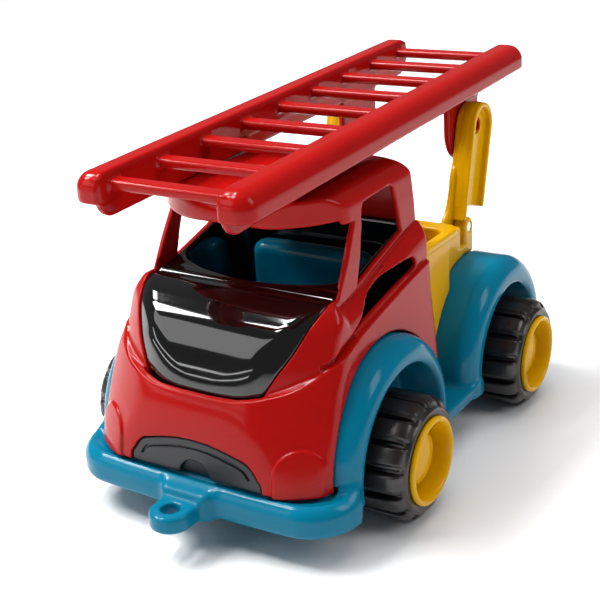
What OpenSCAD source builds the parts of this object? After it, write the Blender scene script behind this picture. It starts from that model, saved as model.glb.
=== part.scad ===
/* [Wheels] */
// Distance between the front and rear axle
wheelbase = 126; // [124:1:128]
// Height of both axles above the ground, which is the tyre's outer radius
axle_z = 28; // [28:0.5:28.5]
// Position of the front axle along the truck
front_axle_y = -60; // [-61:0.5:-59]
// Radius of the tyre over its lugs
tyre_r = 28; // [27.5:0.5:28]
// Width of the tyre
tyre_w = 30; // [28:1:31]
// Distance from the middle of the truck to the tyre's outer face
tyre_outer_x = 83.5; // [83:0.5:84]
// Number of lugs around each tyre
lug_count = 14; // [12:1:16]
// Radius of the hub inside the tyre
hub_r = 20; // [19:0.5:21]
// Radius of the steel axles
axle_r = 2; // [1.5:0.1:2.2]

/* [Chassis] */
// Half width over the fenders and running boards
fender_x = 69; // [68.5:0.5:70]
// Outer radius of the fender arches
fender_r = 49; // [48:0.5:50]
// Radius of the rear wheel openings
opening_r = 35; // [33:0.5:36]
// Radius of the front wheel openings, which are wider behind the wheel
front_opening_r = 38.5; // [37:0.5:39]
// How far the front fenders are centred behind the axle
front_fender_back = 6; // [5:0.5:6.5]
// Height of the bumper's lower edge above the ground
bumper_z = 14.5; // [14:0.5:16]
// Height of the bumper's top edge above the ground
bumper_top_z = 28.5; // [28:0.5:28.5]
// Front face of the bumper
bumper_y = -124; // [-125:0.5:-123]
// Radius of the hole in the tow eye
tow_hole_r = 4; // [3.5:0.25:4.5]
// Height of the running boards' top
board_top_z = 25; // [24:0.5:26]

/* [Cab] */
// Half width of the cab at its lower edge
cab_x = 62; // [61:0.5:62]
// Front of the nose at the middle of the truck
nose_y = -120.5; // [-121:0.5:-120]
// Rear face of the cab
cab_rear_y = -2; // [-3:0.5:-2]
// Wall thickness of the cab shell
cab_wall = 2.6; // [2.4:0.1:3]
// Height of the roof's front edge
roof_z = 143.5; // [142:0.5:143.5]
// Height of the step between the lower body and the upper cab at the rear
belt_z = 97; // [96:0.5:98]
// Height of the cab's lower edge
cab_base_z = 28.8; // [28.8:0.1:29.5]

/* [Ladder bed] */
// Half width of the bed's walls
bed_x = 48; // [47:0.5:48]
// Half width over the bed's rim
bed_rim_x = 51.5; // [51:0.5:52]
// Height of the bed's rim
bed_top_z = 100.5; // [99:0.5:101]
// Rear inner edge of the bed's opening
bed_inner_rear_y = 33.5; // [32:0.5:34]

/* [Arms and ladder] */
// Height and position of the hinge at the foot of the arms
foot_z = 90.5; // [90:0.25:91]
foot_y = 71; // [70.5:0.25:71.5]
// Height and position of the hinge at the top of the arms
top_z = 140; // [139:0.5:141]
top_y = 88.4; // [88:0.2:89]
// How far the arms lean back, in degrees
arm_lean = 14; // [13:0.5:15]
// Radius of the arm's rounded top
arm_r = 12; // [11.5:0.5:12.5]
// Length of the ladder
ladder_len = 276; // [270:1:278]
// Number of rungs
rung_count = 9; // [7:1:9]
// Distance between rungs
rung_pitch = 31.5; // [30:0.5:32]
// How far the ladder rises towards the rear, in degrees
ladder_slope = 2.48; // [2.2:0.02:2.6]
// Radius of the ladder's hinge pins
ladder_pin_r = 4; // [3:0.5:4.5]

/* [Hidden] */
$fn = 64;

teal = "#1497c1";
red = "#c8201f";
yellow = "#f0b400";
black = "#101010";

rear_axle_y = front_axle_y + wheelbase;
running_gap = 0.05;       // radial clearance of a pin or axle in its bearing
big = 400;                // longer than any part, for cutting tools

// Chassis
well_x = 46;              // outer side of the plate that closes each wheel opening
well_wall = 3;
edge_r = 10;              // rounding of a fender's outer edge
front_fender_y = front_axle_y + front_fender_back;
board_bottom_z = 18.5;
board_x = 40;
pan_z = 34;               // underside of the floor pan
pan_top_z = 37;
pan_x = 44;
pan_front_y = -112.3;
pan_rear_y = 108;
bearing_half = 7;
keeper_x = 38;
keeper_z = 18;
keeper_half = 9;
keeper_screw_dy = 5;      // screws of a keeper sit behind its axle
bumper_r = 22;
bumper_depth = 24;
tongue_r = 9.5;
tongue_y = -137;
tongue_z = 15;
tongue_top_z = 23;
pad_x = 11.5;
pad_top_z = 26.5;
tail_y = 112;
tail_x = 60;
screw_r = 1.5;
screw_head_r = 3.4;
boss_r = 4;
cab_screw_x = 30;
cab_screw_front_y = -104;
cab_screw_rear_y = -9;
bed_screw_x = 30;
bed_screw_y = 20;

// Cab
sill_front_z = 101;
sill_rear_y = -17;
sill_rear_z = 115.5;
pillar_x = 45;            // half width of the windscreen opening
cab_upper_x = 54.5;
shoulder_z = 104;
roof_x = 48.5;
roof_r = 8;
grille_x = 34;
grille_top_x = 28;
grille_top_z = 40.5;
grille_rise = 5.5;
lamp_x = 49.3;
lamp_r = 9.7;
lamp_proud = 1;

// Arms and ladder
arm_in_x = 33;
arm_out_x = 43.5;
arm_skin = 2.6;
arm_web_x = 37;
arm_web_out_x = 40;
arm_cut = 42;             // from the top hinge down to the square cut of the web
arm_flange_end = 49;      // from the top hinge down to the end of the front flange
leg_w = 2.8;
foot_pin_r = 2.5;
post_half = 5;
tower_x = 36.3;
lobe_r = 6.3;
rail_in_x = 29;
rail_out_x = 43.5;
rail_depth = 19.5;
skirt_depth = 12.5;
rail_web = 3.5;
rail_skirt = 2.4;
rail_top = 3;
rail_round = 8;
ladder_front_y = -129.6;
ladder_front_z = 161.5;   // top of the rails at their front end
rung_first = 4;
rung_w = 8;
rung_h = 4.4;
rung_drop = 4;
ear_r = 18.5;

// ---------------------------------------------------------------- helpers

// A rectangle with rounded corners, from its low corner
module rounded_rect(w, h, r) {
    union() {
        translate([r, 0]) square([w - 2 * r, h]);
        translate([0, r]) square([w, h - 2 * r]);
        for (x = [r, w - r]) for (y = [r, h - r]) translate([x, y]) circle(r);
    }
}

// A shape drawn in (Y, Z) and given a thickness from x0 to x1
module slab_x(x0, x1) {
    translate([x0, 0, 0]) rotate([90, 0, 90]) linear_extrude(x1 - x0) children();
}

// A shape drawn in (X, Z) and given a thickness from y0 to y1
module slab_y(y0, y1) {
    translate([0, y1, 0]) rotate([90, 0, 0]) linear_extrude(y1 - y0) children();
}

// A round bar along X
module bar_x(x0, x1, y, z, r) {
    translate([x0, y, z]) rotate([0, 90, 0]) cylinder(h = x1 - x0, r = r);
}

// The same thing on both sides of the truck
module both_sides() {
    children();
    mirror([1, 0, 0]) children();
}

// ---------------------------------------------------------------- chassis

// Ring of a fender arch: a box section with a well rounded outer edge
module arch_ring(y, r, opening) {
    inner = opening - 3;
    translate([0, y, axle_z]) rotate([0, 90, 0]) rotate_extrude() {
        translate([inner, well_x - well_wall])
            square([r - inner - edge_r, fender_x - well_x + well_wall]);
        translate([inner, well_x - well_wall])
            square([r - inner, fender_x - well_x + well_wall - edge_r]);
        translate([r - edge_r, fender_x - edge_r]) circle(edge_r);
    }
}

// One fender: the arch and the plate that closes the wheel opening inboard
module fender(y, opening) {
    r = fender_r;
    intersection() {
        union() {
            arch_ring(y, r, opening);
            bar_x(well_x - well_wall, well_x, y, axle_z, r - 1);
        }
        translate([board_x, y - r - 1, board_bottom_z]) cube([fender_x, 2 * r + 2, big]);
    }
}

module bumper_bar() {
    translate([-fender_x - 1, bumper_y, bumper_z]) linear_extrude(bumper_top_z - bumper_z)
        intersection() {
            rounded_rect(2 * fender_x + 2, 2 * bumper_depth + 10, bumper_r);
            square([2 * fender_x + 2, bumper_depth]);
        }
}

// Tow tongue with its eye, and the step above it
module tow_tongue() {
    difference() {
        union() {
            translate([0, tongue_y, tongue_z]) cylinder(h = tongue_top_z - tongue_z, r = tongue_r);
            translate([-tongue_r, tongue_y, tongue_z])
                cube([2 * tongue_r, bumper_y - tongue_y + 2, tongue_top_z - tongue_z]);
            translate([-pad_x, bumper_y - 4, tongue_z]) cube([2 * pad_x, 6, pad_top_z - tongue_z]);
        }
        translate([0, tongue_y, 0]) cylinder(h = axle_z, r = tow_hole_r);
    }
}

module floor_pan() {
    translate([-pan_x, pan_front_y, pan_z]) cube([2 * pan_x, pan_rear_y - pan_front_y, pan_top_z - pan_z]);
    // rims that run down from the pan to the running boards
    both_sides() translate([pan_x - 3, pan_front_y, board_bottom_z])
        cube([3, pan_rear_y - pan_front_y, pan_top_z - board_bottom_z]);
    // front and rear cross walls
    for (y = [pan_front_y, pan_rear_y - 3])
        translate([-pan_x, y, board_bottom_z]) cube([2 * pan_x, 3, pan_top_z - board_bottom_z]);
    // running boards
    both_sides() translate([board_x + 1, front_fender_y + front_opening_r, board_bottom_z])
        cube([fender_x - board_x - 1, rear_axle_y - opening_r - front_fender_y - front_opening_r,
            board_top_z - board_bottom_z]);
    // saddles above the axles
    for (y = [front_axle_y, rear_axle_y])
        translate([-keeper_x, y - bearing_half, axle_z]) cube([2 * keeper_x, 2 * bearing_half,
            pan_z - axle_z + 1]);
}

module tail_bar() {
    difference() {
        translate([-tail_x, pan_rear_y - 4, bumper_z + 3])
            cube([2 * tail_x, tail_y - pan_rear_y + 4, bumper_top_z - bumper_z]);
        for (s = [-1, 1]) translate([s * tail_x, tail_y, 0]) rotate([0, 0, s * 45])
            cube([6, 10, 4 * axle_z], center = true);
    }
}

module chassis() {
    color(teal) difference() {
        union() {
            floor_pan();
            bumper_bar();
            tow_tongue();
            tail_bar();
            both_sides() fender(front_fender_y, front_opening_r);
            both_sides() fender(rear_axle_y, opening_r);
            // gussets that tie the fender fronts to the bumper
            both_sides() translate([board_x, front_fender_y - fender_r - 2, board_bottom_z])
                cube([fender_x - board_x - 2, 8, bumper_top_z - board_bottom_z]);
        }
        // wheel openings
        both_sides() bar_x(well_x, fender_x + 10, front_fender_y, axle_z, front_opening_r);
        both_sides() bar_x(well_x, fender_x + 10, rear_axle_y, axle_z, opening_r);
        for (y = [front_axle_y, rear_axle_y]) {
            // saddle half bores and the clear way for the axle
            bar_x(-keeper_x - 1, keeper_x + 1, y, axle_z, axle_r + running_gap);
            both_sides() bar_x(keeper_x, well_x + 1, y, axle_z, axle_r + 1.5);
            for (x = [-cab_screw_x, cab_screw_x]) translate([x, y + keeper_screw_dy, 0])
                cylinder(h = pan_top_z + 1, r = screw_r);
        }
        for (x = [-cab_screw_x, cab_screw_x]) for (y = [cab_screw_front_y, cab_screw_rear_y, bed_screw_y])
            translate([x, y, pan_z - 1]) cylinder(h = 10, r = screw_r);
        translate([0, tongue_y, 0]) cylinder(h = axle_z, r = tow_hole_r);
    }
}

// ---------------------------------------------------------------- cab

// Top edge of the lower body: by distance from the middle on the nose, and by position on the sides
nose_rim = [[0, 66], [18, 66.3], [28, 68], [39, 70.6], [44.5, 72], [48, 73.5], [63, 76]];
side_rim = [[-101, 73.5], [-96.5, 76], [-93.8, 77.8], [-89.5, 80.2], [-70, 86], [-33, 93.6], [-8, belt_z],
    [1, belt_z]];
barrel_y = -30;

// Side outline of the lower body, drawn back from its outside by t
module lower_side(t) {
    polygon([[nose_y + t, cab_base_z - 1], [nose_y + 0.6 + t, 45], [nose_y + 2 + t, 55], [nose_y + 5 + t, 64],
        [nose_y + 12 + t, 78], [nose_y + 12 + t, belt_z + 3], [cab_rear_y - t, belt_z + 3],
        [cab_rear_y - t, cab_base_z - 1]]);
}

// Front outline of the lower body
module lower_front(t) {
    half = [[cab_x - t, cab_base_z - 1], [cab_x - 1 - t, 45], [cab_x - 2.5 - t, 60], [cab_x - 5 - t, 85],
        [cab_x - 5.5 - t, belt_z + 3]];
    polygon(concat([for (p = half) p], [for (i = [len(half) - 1 : -1 : 0]) [-half[i][0], half[i][1]]]));
}

// Plan of the lower body: bowed front and rounded front corners
module lower_plan(t) {
    intersection() {
        translate([-cab_x + t, nose_y + t])
            rounded_rect(2 * (cab_x - t), 2 * (cab_rear_y - nose_y), 22 - t);
        translate([-cab_x, nose_y]) square([2 * cab_x, cab_rear_y - nose_y - t]);
    }
}

// Round body that draws the lower corners in towards the top
module lower_barrel(t) {
    translate([0, barrel_y, 0]) rotate_extrude($fn = 180) polygon([[0, 20], [99.6 - t, 20], [98.3 - t, 30],
        [93.7 - t, 49], [89.5 - t, 62], [86.7 - t, 72], [83 - t, 77], [79.5 - t, 82], [74 - t, 92],
            [74 - t, 110],
        [0, 110]]);
}

// Round body that draws the cheeks and the pillars' corners in towards the top
module upper_barrel(t) {
    translate([0, barrel_y, 0]) rotate_extrude($fn = 180) polygon([[0, 55], [84 - t, 55], [83 - t, 70],
        [80.5 - t, 82], [79.1 - t, 86], [77.5 - t, 90], [76 - t, 94.5], [73.4 - t, 98.5], [68 - t, 102],
        [63.3 - t, 110.5], [59.5 - t, 118.6], [57 - t, 127], [57.5 - t, 160], [0, 160]]);
}

module lower_solid(t) {
    intersection() {
        slab_x(-cab_x - 5, cab_x + 5) lower_side(t);
        slab_y(nose_y - 5, cab_rear_y + 5) lower_front(t);
        translate([0, 0, cab_base_z]) linear_extrude(belt_z) lower_plan(t);
        union() {
            lower_barrel(t);
            translate([-cab_x, -60, cab_base_z]) cube([2 * cab_x, 60, big]);
        }
    }
}

// Space above the top edge of the lower body
module above_rim() {
    slab_y(nose_y - 5, -100.9) polygon(concat([for (p = nose_rim) p], [[63, big], [-63, big]],
        [for (i = [len(nose_rim) - 1 : -1 : 1]) [-nose_rim[i][0], nose_rim[i][1]]]));
    slab_x(-cab_x - 1, cab_x + 1) polygon(concat([for (p = side_rim) p], [[1, big], [-101, big]]));
}

// Side outline of the upper cab: hood, windscreen line, roof
module upper_side(t) {
    polygon([[-112.8 + t, 55], [-111.5 + t, 68], [-107 + t, 80], [-103 + t, 88], [-98 + t, 94],
        [-92 + t, 98.5],
        [-86 + t, 101.5], [-78.5 + t, 102.5], [-64 + t, 132.2], [-83 + t, 131 - 0.1 * t], [-85 + t, 134],
        [-85.5 + t, 139 - t], [-81 + t, roof_line(-81) - t], [-8, roof_line(-8) - t],
        [-4 - t / 2, roof_line(-6) - 2 - t], [cab_rear_y - t, roof_line(-6) - 6 - t], [cab_rear_y - t, 55]]);
}
function roof_line(y) = roof_z + (y + 86) * tan(ladder_slope);

// Front outline of the upper cab
module upper_front(t) {
    union() {
        polygon([[cab_upper_x - 1.5 - t, 55], [cab_upper_x - 0.5 - t, belt_z], [cab_upper_x - t, shoulder_z],
            [roof_x + 2 - t, 114], [roof_x - t, roof_z - 5 - roof_r / 2], [-roof_x + t,
                roof_z - 5 - roof_r / 2],
            [-roof_x - 2 + t, 114], [-cab_upper_x + t, shoulder_z], [-cab_upper_x + 0.5 + t, belt_z],
            [-cab_upper_x + 1.5 + t, 55]]);
        translate([-roof_x + t, 120]) rounded_rect(2 * (roof_x - t), roof_z + 4 - 120 - t, roof_r);
    }
}

module upper_solid(t) {
    intersection() {
        slab_x(-cab_x, cab_x) upper_side(t);
        slab_y(-120, 5) upper_front(t);
        union() {
            upper_barrel(t);
            translate([-cab_x, -50, 0]) cube([2 * cab_x, 60, big]);
        }
    }
}

// Outline of the hood opening, half of it
hood_edge = [[26, 57], [28.5, 65], [31.5, 71], [36, 79], [41, 87], [44.5, 95], [47, 102.5]];

// Hood opening between the cheeks; grow makes it wider, for clearance
module hood_outline(grow) {
    polygon(concat([for (p = hood_edge) [p[0] + grow, p[1]]],
        [for (i = [len(hood_edge) - 1 : -1 : 0]) [-hood_edge[i][0] - grow, hood_edge[i][1]]]));
}

module windscreen_outline() {
    polygon([[-pillar_x, 102.5], [pillar_x, 102.5], [pillar_x - 2.5, 134], [30, 132.3], [-30, 132.3],
        [-pillar_x + 2.5, 134]]);
}

module side_window_outline() {
    polygon([[-57.5, 104.5], [-48.8, 136], [-24, 137.5], [-19, 134], [sill_rear_y, sill_rear_z]]);
}

// Slot between the lower panel and the upper cab
module side_slot_outline() {
    polygon([[-16, belt_z + 0.3], [-19, shoulder_z - 0.5], [-45, shoulder_z - 1.5], [-58, 99], [-66, 91],
        [-66, 87.6], [-33, 93.9]]);
}

// Outline of the grille's opening, grown by g
module grille_outline(g) {
    steps = 16;
    polygon(concat([[-grille_x - g, cab_base_z - 2], [-grille_x - g, cab_base_z + 2]],
        [for (i = [0 : steps]) let (x = -grille_top_x + 2 * grille_top_x * i / steps)
            [x * (1 + g / grille_top_x), grille_top_z + g + grille_rise * (1 - pow(x / grille_top_x, 2))]],
        [[grille_x + g, cab_base_z + 2], [grille_x + g, cab_base_z - 2]]));
}

// Raised shield where a headlamp would be
module lamp_shield() {
    intersection() {
        lower_solid(-lamp_proud);
        slab_y(nose_y - 4, nose_y + 20) union() {
            translate([lamp_x, 49 - lamp_r]) circle(lamp_r);
            translate([lamp_x - lamp_r, cab_base_z]) square([2 * lamp_r, 49 - lamp_r - cab_base_z]);
        }
    }
}

// Pocket in the cab's front that the black moulding fills
module hood_pocket() {
    intersection() {
        upper_solid(0);
        slab_y(-130, -60) hood_outline(0);
    }
}

// Room for the front fenders
module fender_room() {
    both_sides() bar_x(well_x - well_wall - 0.3, 90, front_fender_y, axle_z, fender_r + 0.3);
}

module cab_walls() {
    rim_deep = 3;
    difference() {
        union() {
            lower_solid(0);
            both_sides() lamp_shield();
        }
        above_rim();
        lower_solid(cab_wall);
        translate([0, 0, cab_base_z - 1]) linear_extrude(2) lower_plan(cab_wall);
    }
    // ledge that joins the lower body's top edge to the upper cab
    difference() {
        intersection() {
            lower_solid(0);
            translate([0, 0, -rim_deep]) above_rim();
        }
        above_rim();
        upper_solid(cab_wall);
    }
    difference() {
        upper_solid(0);
        upper_solid(cab_wall);
        translate([0, 0, 54]) linear_extrude(2) square(300, center = true);
    }
}

module cab_shell() {
    rib_z = 42;               // underside of the front ribs, clear of the grille
    color(red) union() {
        difference() {
            cab_walls();
            hood_pocket();
            slab_y(-100, -50) windscreen_outline();
            slab_x(-60, 60) side_window_outline();
            both_sides() slab_x(48, 58) side_slot_outline();
            slab_y(nose_y - 5, nose_y + 10) grille_outline(0);
            // gap over the floor pan in the rear wall
            translate([-pan_x - 0.3, cab_rear_y - 5, 0]) cube([2 * pan_x + 0.6, 6, pan_top_z + 0.3]);
            fender_room();
        }
        // screw bosses
        for (x = [-cab_screw_x, cab_screw_x]) {
            difference() {
                translate([x, cab_screw_front_y, pan_top_z + 0.2]) cylinder(h = 14, r = boss_r);
                translate([x, cab_screw_front_y, pan_top_z]) cylinder(h = 10, r = screw_r);
            }
            difference() {
                translate([x, cab_screw_rear_y, pan_top_z + 0.2]) cylinder(h = 14, r = boss_r);
                translate([x, cab_screw_rear_y, pan_top_z]) cylinder(h = 10, r = screw_r);
            }
            translate([x - 1, cab_screw_front_y - 14.2, rib_z]) cube([2, 11, pan_top_z + 14 - rib_z]);
            translate([x - 1, cab_screw_rear_y + 3.6, pan_top_z + 0.2]) cube([2, 1.8, 14]);
        }
    }
}

// Black moulding: hood, dash and the inside of the cab
module hood_liner() {
    hood_inset = cab_wall * 0.35;
    liner_x = 46;
    liner_wall = 2;
    liner_low_x = 41;         // inside of the tub where it passes the fenders
    well_top_z = axle_z + fender_r + 2;
    floor_z = 60.2;
    rim_y = -63;
    color(black) difference() {
        union() {
            // hood panel
            intersection() {
                upper_solid(hood_inset);
                slab_y(-120, rim_y) hood_outline(-0.25);
            }
            // tub with its rim along the window sills
            intersection() {
                slab_x(-liner_x, liner_x) polygon([[-86, floor_z], [-86, sill_front_z], [rim_y - 2, 103.2],
                    [-56, 105.3], [sill_rear_y, sill_rear_z - 1.2], [-5, sill_rear_z - 1.2], [-5, floor_z]]);
                upper_solid(cab_wall + 0.2);
            }
        }
        // inside of the tub
        translate([-liner_x + liner_wall, rim_y + 2, well_top_z])
            cube([2 * (liner_x - liner_wall), -7 - rim_y - 2, big]);
        translate([-liner_low_x, rim_y + 2, floor_z + liner_wall])
            cube([2 * liner_low_x, -7 - rim_y - 2, big]);
        // hollow under the hood
        fender_room();
        intersection() {
            upper_solid(hood_inset + 2.4);
            slab_x(-liner_x + liner_wall, liner_x - liner_wall)
                polygon([[-120, floor_z - 6], [-120, 99], [rim_y, 99], [rim_y, floor_z - 6]]);
            translate([0, 0, -2.4]) slab_y(-120, rim_y) hood_outline(-2.5);
        }
    }
}

module grille_insert() {
    color("#2a2a2c") difference() {
        intersection() {
            difference() {
                lower_solid(0.6);
                lower_solid(cab_wall + 1.6);
            }
            slab_y(nose_y - 5, nose_y + 14) grille_outline(-0.7);
        }
        // groove under the top edge
        intersection() {
            difference() {
                lower_solid(0);
                lower_solid(1.8);
            }
            slab_y(nose_y - 5, nose_y + 14) difference() {
                grille_outline(-3.4);
                translate([0, -1.6]) grille_outline(-4.2);
                translate([-50, 0]) square([100, 36]);
            }
        }
        // round recess at the lower edge
        translate([0, nose_y - 2, cab_base_z - 1]) rotate([-90, 0, 0]) cylinder(h = 5, r = 8.5);
    }
}

module seat() {
    seat_x = 32;
    back_r = 5;
    color(teal) union() {
        translate([-seat_x, -21, 62.3]) cube([2 * seat_x, 13.8, 101 - 62.3 - back_r]);
        translate([-seat_x + back_r, 0, 0]) slab_x(0, 2 * (seat_x - back_r)) translate([-21, 80])
            rounded_rect(13.8, 21, back_r);
        translate([-seat_x, -44, 62.3]) cube([2 * seat_x, 24, 14]);
    }
}

// ---------------------------------------------------------------- ladder bed

module bed_plan(x, y0, y1, r) {
    translate([-x, y0]) rounded_rect(2 * x, y1 - y0, r);
}

module ladder_bed() {
    bed_base_z = pan_top_z + 0.3;
    bed_floor_z = 58;
    bed_rear_y = 42;
    strip_top_z = 93.5;
    slot_y = 60.5;
    tower_front_y = 40;
    color(yellow) difference() {
        union() {
            translate([0, 0, bed_base_z]) linear_extrude(bed_top_z - bed_base_z)
                bed_plan(bed_x, 0, bed_rear_y, 7);
            translate([0, 0, bed_top_z - 4.5]) linear_extrude(4.5)
                bed_plan(bed_rim_x, -1.6, bed_rear_y + 2, 8);
            // towers that carry the arms
            both_sides() slab_x(tower_x, arm_out_x) union() {
                translate([tower_front_y, bed_base_z]) square([slot_y - tower_front_y,
                    strip_top_z - bed_base_z]);
                translate([slot_y - 1, bed_base_z]) square([foot_y - slot_y + 1, 82 - bed_base_z]);
                translate([foot_y - post_half, bed_base_z]) square([2 * post_half, foot_z - bed_base_z]);
                translate([foot_y, foot_z]) circle(post_half);
            }
            // web between the towers
            translate([-tower_x - 1, 48, bed_base_z]) cube([2 * tower_x + 2, 3, 76 - bed_base_z]);
            both_sides() translate([10, 40, bed_base_z]) cube([3, 10, 76 - bed_base_z]);
        }
        // inside of the bed
        translate([0, 0, bed_floor_z]) linear_extrude(big)
            bed_plan(bed_x - 2.2, 2.5, bed_inner_rear_y, 6);
        // hollow under the bed's floor
        translate([0, 0, 0]) linear_extrude(bed_floor_z - 2.5)
            difference() {
                bed_plan(bed_x - 2.2, 2.5, bed_rear_y - 2.2, 6);
                for (x = [-bed_screw_x, bed_screw_x]) translate([x, bed_screw_y]) circle(boss_r);
            }
        // hollow behind the bed's rear wall
        translate([-tower_x + 2, bed_inner_rear_y + 2.5, bed_base_z - 1])
            cube([2 * tower_x - 4, bed_rear_y - bed_inner_rear_y - 4.7, bed_top_z - bed_base_z - 2]);
        for (x = [-bed_screw_x, bed_screw_x]) translate([x, bed_screw_y, bed_base_z - 1])
            cylinder(h = 12, r = screw_r);
        bar_x(-50, 50, foot_y, foot_z, foot_pin_r);
        // clearance for the fenders' inner plates
        both_sides() bar_x(well_x - well_wall - 0.3, 90, rear_axle_y, axle_z, fender_r + 0.3);
    }
}

// ---------------------------------------------------------------- arms

// Drawn in (Y, Z) with the top hinge at the origin and the arm pointing down
module arm_outline(r) {
    circle(r);
    translate([-r, -arm_cut]) square([2 * r, arm_cut]);
}

module arm_place() {
    translate([top_y, top_z]) rotate(-arm_lean) children();
}

module arm() {
    difference() {
        union() {
            // flanges and rounded top
            slab_x(arm_in_x, arm_out_x) arm_place() difference() {
                arm_outline(arm_r);
                arm_outline(arm_r - arm_skin);
                translate([-arm_r + arm_skin, -arm_cut - 1]) square([2 * (arm_r - arm_skin), arm_cut]);
            }
            // recessed web
            slab_x(arm_web_x, arm_web_out_x) arm_place() arm_outline(arm_r);
            // front flange runs on down
            slab_x(arm_in_x, arm_out_x) arm_place() translate([-arm_r, -arm_flange_end])
                square([arm_skin, arm_flange_end]);
            // inner leg down to the foot hinge, with the lobe in front
            slab_x(arm_in_x, arm_in_x + leg_w) union() {
                intersection() {
                    arm_place() translate([-arm_r, -56]) square([2 * arm_r, 36]);
                    polygon([[60, 93], [66, 108], [78, 124], [100, 124], [80, 92]]);
                }
                polygon([[foot_y - 13, foot_z + 1.5], [foot_y - 6.5, 104], [foot_y + 2, 108],
                    [foot_y + 8, foot_z],
                    [foot_y, foot_z - 5]]);
                translate([foot_y - 7.5, foot_z + 1.5]) circle(lobe_r);
                translate([foot_y, foot_z]) circle(8);
            }
        }
        bar_x(0, 50, top_y, top_z, ladder_pin_r + running_gap);
        bar_x(0, 50, foot_y, foot_z, foot_pin_r + running_gap);
    }
}

module left_arm() {
    color(yellow) arm();
}

module right_arm() {
    color(yellow) mirror([1, 0, 0]) arm();
}

module arm_pin() {
    bar_x(arm_in_x - 0.6, arm_out_x - 0.3, foot_y, foot_z, foot_pin_r);
}

module left_arm_pin() {
    color("silver") arm_pin();
}

module right_arm_pin() {
    color("silver") mirror([1, 0, 0]) arm_pin();
}

// ---------------------------------------------------------------- ladder

// Puts a shape drawn along the ladder, with its top at zero, into the truck's frame
module ladder_place() {
    translate([0, ladder_front_y, ladder_front_z]) rotate([ladder_slope, 0, 0]) children();
}

// Where the hinge lies in the ladder's own frame
hinge_u = (top_y - ladder_front_y) * cos(ladder_slope) + (top_z - ladder_front_z) * sin(ladder_slope);
hinge_w = -(top_y - ladder_front_y) * sin(ladder_slope) + (top_z - ladder_front_z) * cos(ladder_slope);

module rail() {
    end_r = 8;
    end_cap = 3;
    difference() {
        union() {
            // rounded top and skirt
            translate([0, ladder_len, 0]) rotate([90, 0, 0]) linear_extrude(ladder_len) union() {
                    translate([rail_in_x, -skirt_depth])
                        square([rail_out_x - rail_in_x - rail_round, skirt_depth]);
                    translate([rail_in_x, -skirt_depth])
                        square([rail_out_x - rail_in_x, skirt_depth - rail_round]);
                    translate([rail_out_x - rail_round, -rail_round]) circle(rail_round);
            }
            // deep inner web with rounded lower corners
            slab_x(rail_in_x, rail_in_x + rail_web) translate([2, -rail_depth]) union() {
                translate([end_r, 0]) square([ladder_len - 4 - 2 * end_r, rail_depth - 2]);
                translate([0, end_r]) square([ladder_len - 4, rail_depth - 2 - end_r]);
                for (u = [end_r, ladder_len - 4 - end_r]) translate([u, end_r]) circle(end_r);
            }
            // ear that hangs from the web to the hinge
            slab_x(rail_in_x, rail_in_x + rail_web) union() {
                translate([hinge_u, hinge_w]) circle(ear_r);
                translate([hinge_u - ear_r, hinge_w]) square([2 * ear_r, -hinge_w - 6]);
            }
        }
        // channel between skirt and web, closed at both ends
        for (cut = [[rail_skirt, 4], [rail_skirt + 3.5, rail_top]])
            translate([rail_in_x + rail_web, end_cap, -skirt_depth - 1])
                cube([rail_out_x - rail_in_x - rail_web - cut[0], ladder_len - 2 * end_cap,
                    skirt_depth + 1 - cut[1]]);
        bar_x(0, 50, hinge_u, hinge_w, ladder_pin_r);
        // rounded outer corners of both ends
        translate([0, 0, -rail_depth - 1]) linear_extrude(rail_depth + 2) difference() {
            translate([rail_out_x - 9, -1]) square([12, ladder_len + 2]);
            translate([rail_out_x - 30, 0]) rounded_rect(30, ladder_len, 8);
        }
    }
}

module rung(i) {
    u = rung_first + i * rung_pitch;
    translate([-rail_in_x - 1, u - rung_w / 2, -rung_drop - rung_h])
        cube([2 * rail_in_x + 2, rung_w, rung_h]);
}

module ladder() {
    color(red) ladder_place() union() {
        both_sides() rail();
        for (i = [0 : rung_count - 1]) rung(i + 0.25);
    }
}

module ladder_pin() {
    difference() {
        bar_x(rail_in_x, arm_web_out_x - 0.4, top_y, top_z, ladder_pin_r);
        bar_x(rail_in_x + 2, 50, top_y, top_z, ladder_pin_r - 1.4);
    }
}

module left_ladder_pin() {
    color(red) ladder_pin();
}

module right_ladder_pin() {
    color(red) mirror([1, 0, 0]) ladder_pin();
}

// ---------------------------------------------------------------- wheels

module axle(y) {
    color("silver") bar_x(-tyre_outer_x + 8, tyre_outer_x - 8, y, axle_z, axle_r);
}

module front_axle() {
    axle(front_axle_y);
}

module rear_axle() {
    axle(rear_axle_y);
}

// Wheel parts are drawn about the Z axis, with the outer face of the tyre at height 0
module wheel_place(side, y) {
    mirror([side < 0 ? 1 : 0, 0, 0]) translate([tyre_outer_x, y, axle_z]) rotate([0, 90, 0]) children();
}

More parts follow.
